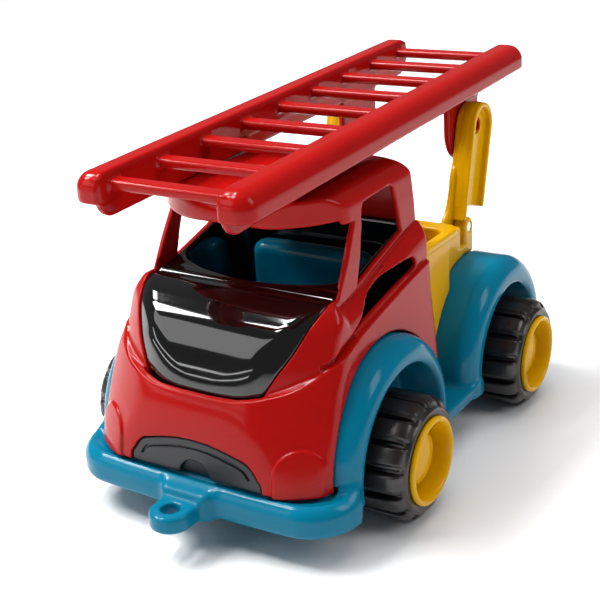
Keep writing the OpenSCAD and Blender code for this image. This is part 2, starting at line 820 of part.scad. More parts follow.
module tyre() {
    lug_deep = 2.8;
    lug_share = 0.6;          // share of the tread that the lugs cover
    lug_half = PI * tyre_r * lug_share / lug_count;
    lug_root = tyre_r - 7;
    tread_r = tyre_r - lug_deep;
    rotate_extrude() polygon([[hub_r - 1.5, -tyre_w + 1], [hub_r + 2, -tyre_w], [tread_r - 4, -tyre_w],
        [tread_r - 1, -tyre_w + 2], [tread_r, -tyre_w + 5], [tread_r, -7], [tread_r - 1.2, -3.6],
        [tread_r - 2.4, -1], [tread_r - 4, 0], [hub_r + 0.4, -0.5], [hub_r - 1.5, -2]]);
    intersection() {
        rotate_extrude() polygon([[lug_root, -tyre_w + 1.2], [tyre_r - 1.5, -tyre_w + 1.2],
            [tyre_r, -tyre_w + 4], [tyre_r, -7], [tyre_r - 1.2, -3.6], [tyre_r - 4, -1.3], [lug_root, -1.3]]);
        for (i = [0 : lug_count - 1]) rotate([0, 0, i * 360 / lug_count])
            translate([0, -lug_half, -tyre_w - 1]) cube([tyre_r + 1, 2 * lug_half, tyre_w + 2]);
    }
}

module hub() {
    lip = 2;
    dish = 9;
    boss_edge_r = 12.8;
    difference() {
        rotate_extrude() polygon([[0, -tyre_w + 3], [hub_r - 1.5, -tyre_w + 3], [hub_r - 1.5, -1.6],
            [hub_r, -0.3], [hub_r, lip - 0.8], [hub_r - 0.8, lip], [hub_r - 2, lip], [hub_r - 2.8, lip - 0.8],
            [hub_r - 4.5, -dish + 1], [hub_r - 5.8, -dish], [boss_edge_r, -dish],
            [boss_edge_r - 0.4, -dish + 3], [boss_edge_r - 2.8, -dish + 5.4], [0, -dish + 6.4]]);
        translate([0, 0, -tyre_w]) cylinder(h = tyre_w - 8, r = axle_r);
        // hollow back
        difference() {
            translate([0, 0, -tyre_w]) cylinder(h = tyre_w - dish - 3, r = hub_r - 4);
            translate([0, 0, -tyre_w]) cylinder(h = tyre_w, r = 5);
        }
    }
}

module front_left_tyre() {
    color(black) wheel_place(1, front_axle_y) tyre();
}

module front_right_tyre() {
    color(black) wheel_place(-1, front_axle_y) tyre();
}

module rear_left_tyre() {
    color(black) wheel_place(1, rear_axle_y) tyre();
}

module rear_right_tyre() {
    color(black) wheel_place(-1, rear_axle_y) tyre();
}

module front_left_hub() {
    color(yellow) wheel_place(1, front_axle_y) hub();
}

module front_right_hub() {
    color(yellow) wheel_place(-1, front_axle_y) hub();
}

module rear_left_hub() {
    color(yellow) wheel_place(1, rear_axle_y) hub();
}

module rear_right_hub() {
    color(yellow) wheel_place(-1, rear_axle_y) hub();
}

// Keeper under an axle, with the lower half of each bearing
module axle_keeper(y) {
    color(black) difference() {
        translate([-keeper_x, y - keeper_half, keeper_z]) cube([2 * keeper_x, 2 * keeper_half,
            axle_z - keeper_z]);
        bar_x(-keeper_x - 1, keeper_x + 1, y, axle_z, axle_r + running_gap);
        for (x = [-cab_screw_x, cab_screw_x]) translate([x, y + keeper_screw_dy, keeper_z - 1]) {
            cylinder(h = 20, r = screw_r);
            cylinder(h = 3, r = screw_head_r);
        }
    }
}

module front_axle_keeper() {
    axle_keeper(front_axle_y);
}

module rear_axle_keeper() {
    axle_keeper(rear_axle_y);
}

module keeper_screws() {
    color("silver") for (y = [front_axle_y, rear_axle_y]) for (x = [-cab_screw_x, cab_screw_x])
        translate([x, y + keeper_screw_dy, keeper_z]) {
            cylinder(h = 2, r = screw_head_r);
            cylinder(h = pan_top_z - keeper_z, r = screw_r);
        }
}

module body_screws() {
    color("silver") for (x = [-cab_screw_x, cab_screw_x])
        for (y = [cab_screw_front_y, cab_screw_rear_y, bed_screw_y]) translate([x, y, pan_z - 2]) {
            cylinder(h = 2, r = screw_head_r);
            cylinder(h = 11, r = screw_r);
        }
}

chassis();
cab_shell();
hood_liner();
grille_insert();
seat();
ladder_bed();
left_arm();
right_arm();
ladder();
left_ladder_pin();
right_ladder_pin();
left_arm_pin();
right_arm_pin();
front_axle();
rear_axle();
front_axle_keeper();
rear_axle_keeper();
front_left_tyre();
front_right_tyre();
rear_left_tyre();
rear_right_tyre();
front_left_hub();
front_right_hub();
rear_left_hub();
rear_right_hub();
body_screws();
keeper_screws();
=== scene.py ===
import math

import bpy
import numpy as np
from mathutils import Matrix, Vector


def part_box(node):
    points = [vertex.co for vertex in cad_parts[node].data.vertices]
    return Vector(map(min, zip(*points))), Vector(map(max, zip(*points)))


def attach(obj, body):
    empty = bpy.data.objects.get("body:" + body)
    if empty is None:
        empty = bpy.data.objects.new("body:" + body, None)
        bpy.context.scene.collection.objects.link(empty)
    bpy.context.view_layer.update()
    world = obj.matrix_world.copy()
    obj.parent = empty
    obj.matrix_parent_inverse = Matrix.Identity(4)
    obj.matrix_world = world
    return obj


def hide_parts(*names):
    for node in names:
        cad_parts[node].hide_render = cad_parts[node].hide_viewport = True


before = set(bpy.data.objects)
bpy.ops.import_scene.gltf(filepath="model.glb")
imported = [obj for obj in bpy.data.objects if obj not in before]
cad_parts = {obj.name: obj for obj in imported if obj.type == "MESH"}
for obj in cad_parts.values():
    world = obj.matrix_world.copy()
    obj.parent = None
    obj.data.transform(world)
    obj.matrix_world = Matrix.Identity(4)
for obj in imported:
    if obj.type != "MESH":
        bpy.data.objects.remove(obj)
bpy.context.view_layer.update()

MM = 0.001
REACH = 0.4  # half the step over which a field's slope is taken, in millimetres


# ---------------------------------------------------------------- distance fields, in millimetres
# Each moulded part is a function of x, y, z that is negative inside the plastic. Sharp joins
# become fillets where two fields meet with smooth_min or smooth_max.


def smooth_min(a, b, r):
    """The smaller of two fields, rounded over r where they cross."""
    h = np.clip(0.5 + 0.5 * (b - a) / r, 0.0, 1.0)
    return b + (a - b) * h - r * h * (1.0 - h)


def smooth_max(a, b, r):
    """The larger of two fields, rounded over r where they cross."""
    return -smooth_min(-a, -b, r)


def cut(a, b, r):
    """a with b taken away, and the cut's edge rounded over r."""
    return smooth_max(a, -b, r)


def curve(points, steps=8, closed=False):
    """Smooth line through the points."""
    p = np.array(points, float)
    n = len(p)
    spans = n if closed else n - 1
    out = []
    for i in range(spans):
        if closed:
            a, b, c, d = (p[(i + k - 1) % n] for k in range(4))
        else:
            a, b, c, d = p[max(i - 1, 0)], p[i], p[i + 1], p[min(i + 2, n - 1)]
        for t in np.arange(steps) / steps:
            out.append(0.5 * (2 * b + (c - a) * t + (2 * a - 5 * b + 4 * c - d) * t * t
                              + (3 * b - a - 3 * c + d) * t ** 3))
    if not closed:
        out.append(p[-1])
    return [tuple(q) for q in out]


class Outline:
    """Signed distance to a closed outline, kept as a fine table."""

    STEP = 0.35
    MARGIN = 14.0

    def __init__(self, points):
        p = np.array(points, float)
        self.low = p.min(0) - self.MARGIN
        self.count = np.ceil((p.max(0) + self.MARGIN - self.low) / self.STEP).astype(int) + 1
        a = (self.low[0] + self.STEP * np.arange(self.count[0]))[:, None]
        b = (self.low[1] + self.STEP * np.arange(self.count[1]))[None, :]
        near = np.full((self.count[0], self.count[1]), 1e18)
        inside = np.zeros(near.shape, bool)
        for (x0, y0), (x1, y1) in zip(p, np.roll(p, -1, 0)):
            dx, dy = x1 - x0, y1 - y0
            long = dx * dx + dy * dy
            if long < 1e-12:
                continue
            t = np.clip(((a - x0) * dx + (b - y0) * dy) / long, 0.0, 1.0)
            near = np.minimum(near, (a - x0 - t * dx) ** 2 + (b - y0 - t * dy) ** 2)
            if y0 != y1:
                crosses = (y0 > b) != (y1 > b)
                inside ^= crosses & (a < x0 + (b - y0) * dx / dy)
        self.table = np.sqrt(near) * np.where(inside, -1.0, 1.0)

    def __call__(self, a, b):
        u = np.clip((a - self.low[0]) / self.STEP, 0, self.count[0] - 1.001)
        v = np.clip((b - self.low[1]) / self.STEP, 0, self.count[1] - 1.001)
        i, j = u.astype(int), v.astype(int)
        u, v = u - i, v - j
        t = self.table
        return ((t[i, j] * (1 - u) + t[i + 1, j] * u) * (1 - v)
                + (t[i, j + 1] * (1 - u) + t[i + 1, j + 1] * u) * v)


def slab(a, low, high):
    """The space between two planes."""
    return np.abs(a - (low + high) / 2) - (high - low) / 2


def box(x, y, z, low, high, r):
    """A box with rounded edges."""
    return smooth_max(smooth_max(slab(x, low[0], high[0]), slab(y, low[1], high[1]), r),
                      slab(z, low[2], high[2]), r)


def corner(distances, r):
    """Where all the distances are negative, with a true round of radius r where they meet."""
    q = [d + r for d in distances]
    out = sum(np.maximum(d, 0) ** 2 for d in q)
    most = q[0]
    for d in q[1:]:
        most = np.maximum(most, d)
    return np.sqrt(out) + np.minimum(most, 0) - r


def disc(a, b, centre, r):
    """Distance to a circle."""
    return np.hypot(a - centre[0], b - centre[1]) - r


# ---------------------------------------------------------------- from a field to a mesh


def net(field, low, high, cell):
    """Quads that follow the field's surface inside a box, one vertex in each cell it crosses."""
    axes = [np.arange(lo - 1.5 * cell, hi + 1.5 * cell, cell) for lo, hi in zip(low, high)]
    x, y, z = axes[0][:, None, None], axes[1][None, :, None], axes[2][None, None, :]
    value = np.broadcast_to(field(x, y, z), tuple(len(a) for a in axes)).astype(np.float32)
    inside = value < 0
    filled = inside[:-1, :-1, :-1].astype(np.int8)
    for i, j, k in [(1, 0, 0), (0, 1, 0), (0, 0, 1), (1, 1, 0), (1, 0, 1), (0, 1, 1), (1, 1, 1)]:
        filled = filled + inside[i:inside.shape[0] - 1 + i, j:inside.shape[1] - 1 + j,
                                 k:inside.shape[2] - 1 + k]
    cells = np.argwhere((filled > 0) & (filled < 8))
    index = np.full(filled.shape, -1, np.int64)
    index[tuple(cells.T)] = np.arange(len(cells))
    total = np.zeros((len(cells), 3))
    number = np.zeros(len(cells))
    for axis in range(3):
        along = np.eye(3, dtype=int)[axis]
        others = [np.eye(3, dtype=int)[o] for o in range(3) if o != axis]
        for s in (0, 1):
            for t in (0, 1):
                start = cells + s * others[0] + t * others[1]
                v0 = value[tuple(start.T)]
                v1 = value[tuple((start + along).T)]
                hit = (v0 < 0) != (v1 < 0)
                part = np.where(hit, v0 / np.where(hit, v0 - v1, 1), 0)
                place = start + part[:, None] * along
                total += np.where(hit[:, None], place, 0)
                number += hit
    base = np.array([a[0] for a in axes])
    points = base + cell * total / number[:, None]
    faces = []
    for axis in range(3):
        o1, o2 = [o for o in range(3) if o != axis]
        a = np.moveaxis(inside, (axis, o1, o2), (0, 1, 2))
        ids = np.moveaxis(index, (axis, o1, o2), (0, 1, 2))
        change = a[:-1, 1:-1, 1:-1] != a[1:, 1:-1, 1:-1]
        i, j, k = np.nonzero(change)
        faces.append(np.stack([ids[i, j, k], ids[i, j + 1, k],
                               ids[i, j + 1, k + 1], ids[i, j, k + 1]], 1))
    return points, np.concatenate(faces)


def slope(field, p, reach):
    """Gradient of the field at the points."""
    x, y, z = p.T
    return np.stack([field(x + reach, y, z) - field(x - reach, y, z),
                     field(x, y + reach, z) - field(x, y - reach, z),
                     field(x, y, z + reach) - field(x, y, z - reach)], 1) / (2 * reach)


def relax(points, faces):
    """Moves each vertex towards the middle of its neighbours."""
    total = np.zeros_like(points)
    number = np.zeros(len(points))
    for k in range(4):
        a, b = faces[:, k], faces[:, (k + 1) % 4]
        for s, t in ((a, b), (b, a)):
            for axis in range(3):
                total[:, axis] += np.bincount(s, points[t, axis], len(points))
            number += np.bincount(s, minlength=len(points))
    return points + 0.5 * (total / np.maximum(number, 1)[:, None] - points)


def surface(field, low, high, cell):
    """Points, quads and outward normals of the field's surface."""
    points, faces = net(field, low, high, cell)
    for _ in range(3):
        points = relax(points, faces)
        grad = slope(field, points, REACH)
        step = field(*points.T) / np.maximum((grad ** 2).sum(1), 0.25)
        points = points - np.clip(step, -cell, cell)[:, None] * grad
    grad = slope(field, points, REACH)
    return points, faces, grad / np.maximum(np.linalg.norm(grad, axis=1), 1e-9)[:, None]


def piece(name, shape, turn=None, offset=(0, 0, 0)):
    """A mesh object of a surface, turned by a 3x3 matrix and then moved."""
    points, faces, normals = shape
    if turn is not None:
        points, normals = points @ np.array(turn).T, normals @ np.array(turn).T
    points = points + np.array(offset)
    across = np.cross(points[faces[:, 2]] - points[faces[:, 0]],
                      points[faces[:, 3]] - points[faces[:, 1]])
    back = (across * normals[faces].sum(1)).sum(1) < 0
    faces = np.where(back[:, None], faces[:, ::-1], faces)
    mesh = bpy.data.meshes.new(name)
    mesh.vertices.add(len(points))
    mesh.vertices.foreach_set("co", (points * MM).astype(np.float32).ravel())
    mesh.loops.add(faces.size)
    mesh.loops.foreach_set("vertex_index", faces.astype(np.int32).ravel())
    mesh.polygons.add(len(faces))
    mesh.polygons.foreach_set("loop_start", np.arange(0, faces.size, 4, dtype=np.int32))
    mesh.polygons.foreach_set("loop_total", np.full(len(faces), 4, np.int32))
    mesh.update(calc_edges=True)
    mesh.validate()
    mesh.polygons.foreach_set("use_smooth", np.ones(len(mesh.polygons), bool))
    mesh.normals_split_custom_set_from_vertices(normals.astype(np.float32))
    made = bpy.data.objects.new(name, mesh)
    bpy.context.scene.collection.objects.link(made)
    return made


# ---------------------------------------------------------------- sizes, in millimetres


def middle(node):
    """Middle of a CAD node's box."""
    low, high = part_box(node)
    return (low + high) / 2 / MM


FRONT_AXLE = middle("front_axle")
REAR_AXLE = middle("rear_axle")
FOOT_HINGE = middle("left_arm_pin")
TOP_HINGE = middle("left_ladder_pin")
LADDER_SLOPE = math.radians(2.48)
ARM_LEAN = math.radians(14)
LADDER_FRONT = (-129.6, 161.5)
LADDER_LENGTH = 276.0
RUNG_PITCH = 31.5
CAB_REAR = -2.0
CAB_BASE = 28.8
NOSE = -120.5
CAB_WALL = 2.4
BARREL_Y = -30.0
FENDER_X = 69.0
FRONT_ARCH = (FRONT_AXLE.y + 6, 29.0)
REAR_ARCH = (REAR_AXLE.y, 28.0)
ARCH_R = 49.0
FRONT_OPENING = (FRONT_AXLE.y + 6, 27.6)
FRONT_OPENING_R = 38.5
REAR_OPENING_R = 35.0
EDGE_R = 10.0
BOARD_LOW = 18.5
BED_TOP = 100.5
BED_BASE = 37.3
TOW_Y = -137.0
TOW_R = 4.0
LUGS = 14
LUG_SHARE = 0.62
LUG_LEAN = 0.05
TYRE_R = 28.0
TYRE_W = 30.0
TYRE_OUTER = 83.5


def lookup(points, steps=8):
    """A smooth curve through the points, as a function of its first coordinate."""
    a, b = np.array(curve(points, steps)).T
    return lambda t: np.interp(t, a, b)


def half_outline(points):
    """Outline of a half shape, which is used with the distance from the middle plane."""
    low, high = points[0][1], points[-1][1]
    return Outline([(-30, low)] + list(points) + [(-30, high)])


# ---------------------------------------------------------------- cab

nose_edge = curve([(-120.6, 14), (-120.5, 34), (-119.6, 48), (-117.6, 58), (-114.5, 67), (-109, 78),
                   (-103, 90), (-99, 106)])
LOWER_SIDE = Outline(nose_edge + [(CAB_REAR, 106), (CAB_REAR, 14)])
LOWER_FRONT = half_outline(curve([(62, 14), (62, 30), (61.2, 45), (59.6, 60), (57, 85),
                                  (56.3, 106)]))
LOWER_BARREL = half_outline(curve([(101, 10), (98.5, 30), (94, 48), (89.6, 62), (86, 72), (82, 79),
                                   (78, 87), (74, 96), (72, 108)]))
hood_line = curve([(-113, 50), (-112.6, 60), (-111, 70), (-107.2, 80), (-102.4, 88.5), (-96.5, 95),
                   (-89, 99.7), (-79.5, 102.5)])
roof_top = curve([(-57.8, 131.4), (-76, 131.4), (-83.5, 132), (-86.2, 135), (-85.6, 139),
                  (-82, 142.2), (-74, 144.1), (-40, 145.6), (-10, 146.6), (-4.5, 144.4),
                  (CAB_REAR, 139)])
UPPER_SIDE = Outline(hood_line + [(-75.2, 102.2)] + roof_top + [(CAB_REAR, 50)])
UPPER_FRONT = half_outline(curve([(57, 50), (57, 100), (52, 120), (48.6, 131), (47.2, 138),
                                  (44.6, 141.8), (38, 145), (20, 147), (0, 147.5)])[:-1])
UPPER_BARREL = half_outline(curve([(84, 48), (83.4, 66), (81.6, 78), (79.2, 86), (76.4, 94),
                                   (73, 99), (69, 104), (65.4, 110.5), (61.8, 118), (58.8, 126),
                                   (57.5, 134), (57.5, 160)]))
# the shoulder under the windows: how far it stands out, by height over the sill
window_sill = lookup([(-95, 104), (-86, 104.2), (-80, 104), (-76.5, 101.8), (-74.5, 100.6),
                      (-70, 101.3), (-58.5, 103.6), (-17, 115.2), (0, 118.6)])
shoulder = lookup([(-80, 3.6), (-40, 4.6), (-16, 5.5), (-10, 5.2), (-6, 3.8), (-3, 1.9),
                   (-2.3, 1.5), (-1.9, 0.2), (-1, 0), (60, 0)], 4)
# top edges of the lower body, from its middle outwards and along its side
nose_rim = lookup([(0, 66), (18, 66.3), (28, 67.8), (39, 70.4), (44.5, 72), (48, 73.6), (63, 77)])
side_rim = lookup([(-122, 54), (-108, 68), (-101, 73.4), (-96.5, 76), (-89.5, 80.2), (-70, 86.3),
                   (-33, 93.4), (-8, 97.3), (4, 98.5)])
# top of the black moulding along the windows
sill_height = lookup([(-90, 101), (-80, 102.3), (-70, 103), (-60, 104.6), (-17, 115.6),
                      (-2, 116.2)])
HOOD = half_outline(curve([(25, 50), (27.4, 60), (29.8, 67), (34, 75), (40, 85), (44.3, 95),
                           (46.6, 101), (47.4, 106)]))
WINDSCREEN = half_outline([(45.2, 97.5), (46.3, 101), (46.7, 104), (46.2, 115), (45.3, 130),
                           (44.6, 133.4), (34, 132.4), (18, 131.3), (0, 130.7)])
SIDE_WINDOW = Outline([(-58.6, 103.8), (-49.9, 135.2), (-47.8, 137), (-24, 138), (-20.4, 136.4),
                       (-17, 115.4)])
SIDE_SLOT = Outline(curve([(-14.5, 98.2), (-17, 103.4), (-30, 103.8), (-45, 102.6), (-56, 99),
                           (-62, 94.5), (-66, 91), (-76, 86.4), (-84, 83.8), (-70, 88.2),
                           (-45, 93), (-28, 96)], 5, closed=True))
GRILLE = half_outline(curve([(34.4, 14), (34.4, 31), (32.6, 35), (28.2, 40.6), (22, 43), (10, 45.6),
                             (0, 46.3)], 6))
LAMP = Outline([(39.6, 20)] + [(49.3 - 9.7 * math.cos(t), 39.3 + 9.7 * math.sin(t))
                               for t in np.linspace(0, math.pi, 24)] + [(59, 20)])


def barrel(outline, x, y, z):
    """A round body about an upright axis in the cab. It shapes only what is in front of it."""
    return outline(np.hypot(x, np.minimum(y - BARREL_Y, 0)), z)


def plan(x, y):
    """Plan of the lower body, with round front corners."""
    return corner([np.abs(x) - 62, NOSE - y], 22)


def lower_body(x, y, z):
    """The lower cab body as a full solid."""
    side = smooth_max(LOWER_SIDE(y, z), LOWER_FRONT(np.abs(x), z), 3)
    return smooth_max(side, smooth_max(plan(x, y), barrel(LOWER_BARREL, x, y, z), 4), 3)


def upper_body(x, y, z):
    """The upper cab as a full solid: hood, cheeks, pillars and roof."""
    width = 49 - 0.07 * (z - 115) * (z > 115) + shoulder(z - window_sill(y))
    front = smooth_max(np.abs(x) - width, UPPER_FRONT(np.abs(x), z), 2)
    side = smooth_max(front, UPPER_SIDE(y, z), 1.2)
    return smooth_max(side, barrel(UPPER_BARREL, x, y, z), 2)


def above_rim(x, y, z, drop=0.0):
    """Height over the lower body's top edge."""
    rim = smooth_max(nose_rim(np.abs(x)), side_rim(y), 1.5)
    return (z - rim + drop) * 0.92


def cab_shell(x, y, z):
    a = np.abs(x)
    lower, upper = lower_body(x, y, z), upper_body(x, y, z)
    lamp = smooth_max(smooth_max(lower - 1.1, LAMP(a, z), 1.2), y + 92, 1)
    skin = smooth_min(lower, lamp, 0.7)
    over = above_rim(x, y, z)
    wall = CAB_WALL + np.clip(over + 4, 0, 1.1)
    panel = smooth_max(cut(skin, lower + wall, 0.6), over, 0.8)
    panel = smooth_max(panel, CAB_BASE - z, 1)
    # shelf behind the lower panel's top edge, which joins it to the upper cab
    shelf = np.maximum(np.maximum(lower + 1.2, -(upper + CAB_WALL)),
                       np.maximum(above_rim(x, y, z, 4.2), -above_rim(x, y, z, 7)))
    wall = np.maximum(cut(upper, upper + CAB_WALL, 0.6), 58 - z)
    body = smooth_min(smooth_min(panel, shelf, 0.8), wall, 0.8)
    body = cut(body, np.maximum(np.maximum(HOOD(a, z), y + 60), upper - 0.2), 0.9)
    body = cut(body, smooth_max(WINDSCREEN(a, z), slab(y, -110, -48), 1), 0.7)
    body = cut(body, SIDE_WINDOW(y, z), 0.7)
    body = cut(body, smooth_max(SIDE_SLOT(y, z), 50.6 - a, 1), 0.8)
    body = cut(body, np.maximum(GRILLE(a, z), y + 100), 0.9)
    # groove that carries the slot's line on towards the nose
    groove = np.maximum(np.abs(above_rim(x, y, z) - 0.5) - 0.9, np.maximum(-1.5 - upper, 50 - a))
    body = cut(body, smooth_max(groove, slab(y, -95, -72), 2), 0.5)
    return cut(body, np.maximum(disc(y, z, FRONT_ARCH, ARCH_R + 0.9), 42.5 - a), 0.7)


def hood_liner(x, y, z):
    a = np.abs(x)
    upper = upper_body(x, y, z)
    hood = smooth_max(smooth_max(upper + 0.9, HOOD(a, z) + 0.35, 0.9), y + 62, 1)
    sides = np.minimum(a - 46, np.maximum(a - 49.6, sill_height(y) - 3.5 - z))
    body = smooth_min(hood, np.maximum(upper + CAB_WALL + 0.2, sides), 1)
    body = smooth_max(body, z - sill_height(y), 1.6)
    body = np.maximum(np.maximum(body, 57.5 - z), y + 4.7)
    front = y + 70 - 9.5 * (x / 40) ** 2
    inside = a - 39.2 - 0.11 * (z - 62)
    opening = smooth_max(smooth_max(inside, smooth_max(-front, y + 7, 2), 7), 62.2 - z, 2)
    body = cut(body, opening, 2.4)
    hollow = np.maximum(np.maximum(upper + 3.4, front + 2.6), np.maximum(HOOD(a, z) + 3, z - 98))
    body = cut(body, hollow, 1)
    return cut(body, np.maximum(disc(y, z, FRONT_ARCH, ARCH_R + 0.9), 42.6 - a), 0.5)


def grille_insert(x, y, z):
    a = np.abs(x)
    lower = lower_body(x, y, z)
    outline = smooth_max(GRILLE(a, z) + 0.5, y + 100, 1)
    plate = smooth_max(cut(lower + 0.7, lower + 4.4, 0.5), outline, 0.8)
    groove = np.maximum(np.abs(GRILLE(a, z) + 4.4) - 0.55, np.maximum(33.5 - z, -(lower + 1.9)))
    plate = cut(plate, groove, 0.5)
    hole = np.maximum(disc(x, z, (0, CAB_BASE - 0.5), 8), -(lower + 3))
    return smooth_max(cut(plate, hole, 0.6), CAB_BASE + 0.2 - z, 0.5)


def seat(x, y, z):
    back = box(x, y, z, (-32, -21, 62.3), (32, -7.4, 101), 6)
    return smooth_min(back, box(x, y, z, (-32, -44, 62.3), (32, -14, 76), 3), 3)


# ---------------------------------------------------------------- chassis


def fender(x, y, z, arch):
    """An arch over a wheel, with the plate that closes it inboard."""
    a = np.abs(x)
    outer = corner([disc(y, z, arch, ARCH_R), a - FENDER_X], EDGE_R)
    return np.maximum(outer, 43 - a)


def wheel_space(x, y, z, opening, r):
    """Room for a wheel, up to the plate inboard of it."""
    return smooth_max(disc(y, z, opening, r), 46 - np.abs(x), 3)


def bumper(x, y, z):
    rim = corner([np.abs(x) - 71.5, -125.6 + 0.0006 * x * x - y], 22)
    crest = 27.4 + 1.1 * np.exp(-((rim + 4.2) / 2.6) ** 2)
    bar = smooth_max(smooth_max(rim, z - crest, 6), 14.6 - z, 3.5)
    bar = np.maximum(bar, y + 100)
    tongue = np.where(y < TOW_Y, np.hypot(x, y - TOW_Y), np.abs(x)) - 9.5
    tongue = smooth_max(smooth_max(tongue, slab(z, 15, 23), 2.4), y + 110, 1)
    step = box(x, y, z, (-12, -129, 15), (12, -112, 26.6), 2.4)
    front = smooth_min(smooth_min(bar, tongue, 8), step, 1.5)
    return cut(front, np.hypot(x, y - TOW_Y) - TOW_R, 1.2)


def chassis(x, y, z):
    a = np.abs(x)
    fenders = smooth_min(fender(x, y, z, FRONT_ARCH), fender(x, y, z, REAR_ARCH), 2)
    fenders = smooth_max(fenders, BOARD_LOW - z, 2)
    board = smooth_max(box(x, y, z, (-FENDER_X, -22, BOARD_LOW), (FENDER_X, 36, 25), 2), 41 - a, 1)
    body = smooth_min(smooth_min(fenders, board, 4), bumper(x, y, z), 7)
    body = cut(body, wheel_space(x, y, z, FRONT_OPENING, FRONT_OPENING_R), 2.4)
    body = cut(body, wheel_space(x, y, z, REAR_ARCH, REAR_OPENING_R), 2.4)
    pan = cut(box(x, y, z, (-44, -112.3, BOARD_LOW), (44, 108, 37), 1),
              box(x, y, z, (-41, -109, -50), (41, 105, 34), 1), 1)
    body = smooth_min(body, pan, 1.5)
    tail = box(x, y, z, (-60, 104, 17.5), (60, 112, 31.5), 2.5)
    tail = smooth_max(tail, (a + y - 167) * 0.707, 2)
    body = smooth_min(body, tail, 2)
    for axle in (FRONT_AXLE.y, REAR_AXLE.y):
        body = smooth_min(body, box(x, y, z, (-38, axle - 7, 28), (38, axle + 7, 35), 0.8), 1)
        body = cut(body, smooth_max(np.hypot(y - axle, z - 28) - 2.3, a - 50, 0.5), 0.4)
    # groove that the cab's lower edge stands in
    slot = np.maximum(np.abs(lower_body(x, y, np.maximum(z, 30)) + 1) - 1.8, slab(z, 27, 31))
    return cut(body, np.maximum(slot, y + 96), 0.6)


# ---------------------------------------------------------------- bed behind the cab


def tub(a, y, half, low, high, r):
    """Plan of a tub with rounded corners, as seen from its middle plane."""
    return corner([a - half, slab(y, low, high)], r)


def ladder_bed(x, y, z):
    a = np.abs(x)
    body = smooth_max(np.maximum(tub(a, y, 48, 0, 42, 7), BED_BASE - z), z - BED_TOP, 1.5)
    rim = smooth_max(tub(a, y, 51.5, -1.7, 44, 8), slab(z, BED_TOP - 4.6, BED_TOP), 1.8)
    body = smooth_min(body, rim, 1.2)
    tower = slab(a, 36.3, 43.5)
    strip = smooth_max(np.maximum(slab(y, 38, 60.5), z - 93.5), tower, 1.6)
    low = smooth_max(np.maximum(slab(y, 56, 72), z - 82), tower, 1.2)
    post = np.minimum(np.maximum(slab(y, FOOT_HINGE.y - 5, FOOT_HINGE.y + 5), z - FOOT_HINGE.z),
                      disc(y, z, (FOOT_HINGE.y, FOOT_HINGE.z), 5))
    post = smooth_max(post, tower, 1.6)
    legs = np.maximum(smooth_min(smooth_min(strip, low, 1), post, 0.8), BED_BASE - z)
    body = smooth_min(body, legs, 1.2)
    web = np.maximum(np.maximum(slab(y, 48, 51), a - 38), slab(z, BED_BASE, 76))
    body = smooth_min(body, web, 1)
    body = cut(body, smooth_max(tub(a, y, 46.4, 2.6, 33.5, 6), 58 - z, 3), 1.8)
    body = cut(body, np.maximum(tub(a, y, 45.8, 2.5, 39.8, 6), z - 55.5), 1)
    body = cut(body, np.maximum(np.maximum(a - 34, slab(y, 36, 39.8)), z - 97), 1)
    body = cut(body, np.maximum(np.hypot(y - FOOT_HINGE.y, z - FOOT_HINGE.z) - 2.5, 30 - a), 0.4)
    return cut(body, np.maximum(disc(y, z, REAR_ARCH, ARCH_R + 0.3), 42.7 - a), 0.5)


# ---------------------------------------------------------------- arms and ladder

ARM_LEG = Outline(curve([(63.5, 85.6), (58.6, 87.8), (57.1, 92), (58.8, 96.4), (63, 100.5),
                         (66.6, 108), (70.6, 121), (82, 124), (94, 121), (88, 108), (81, 97),
                         (79, 90), (76.7, 84.9), (71, 82.5), (66.9, 84.3)], 5, closed=True))


def arm(x, y, z):
    """The left arm. u runs across it from front to back, and w up it, both from the top hinge."""
    dy, dz = y - TOP_HINGE.y, z - TOP_HINGE.z
    u = dy * math.cos(ARM_LEAN) - dz * math.sin(ARM_LEAN)
    w = dy * math.sin(ARM_LEAN) + dz * math.cos(ARM_LEAN)
    top = np.where(w > 0, np.hypot(u, w), np.abs(u)) - 12
    sides = cut(top, np.maximum(top + 2.6, -49 - w), 0.6)
    flange = smooth_max(np.maximum(sides, -49 - w), slab(x, 33, 43.5), 1)
    flange = cut(flange, np.maximum(-u - 9, w + 42), 0.6)
    web = np.maximum(smooth_max(np.maximum(top, -42 - w), slab(x, 37, 40), 0.8), top)
    leg = smooth_max(ARM_LEG(y, z), slab(x, 33, 35.8), 0.9)
    body = smooth_min(smooth_min(flange, web, 1), leg, 0.8)
    body = cut(body, disc(y, z, (TOP_HINGE.y, TOP_HINGE.z), 4.1), 0.7)
    return cut(body, disc(y, z, (FOOT_HINGE.y, FOOT_HINGE.z), 2.6), 0.5)


def ladder_frame(y, z):
    """Distance along the ladder from its front, and height over its rails' top."""
    dy, dz = y - LADDER_FRONT[0], z - LADDER_FRONT[1]
    return (dy * math.cos(LADDER_SLOPE) + dz * math.sin(LADDER_SLOPE),
            dz * math.cos(LADDER_SLOPE) - dy * math.sin(LADDER_SLOPE))


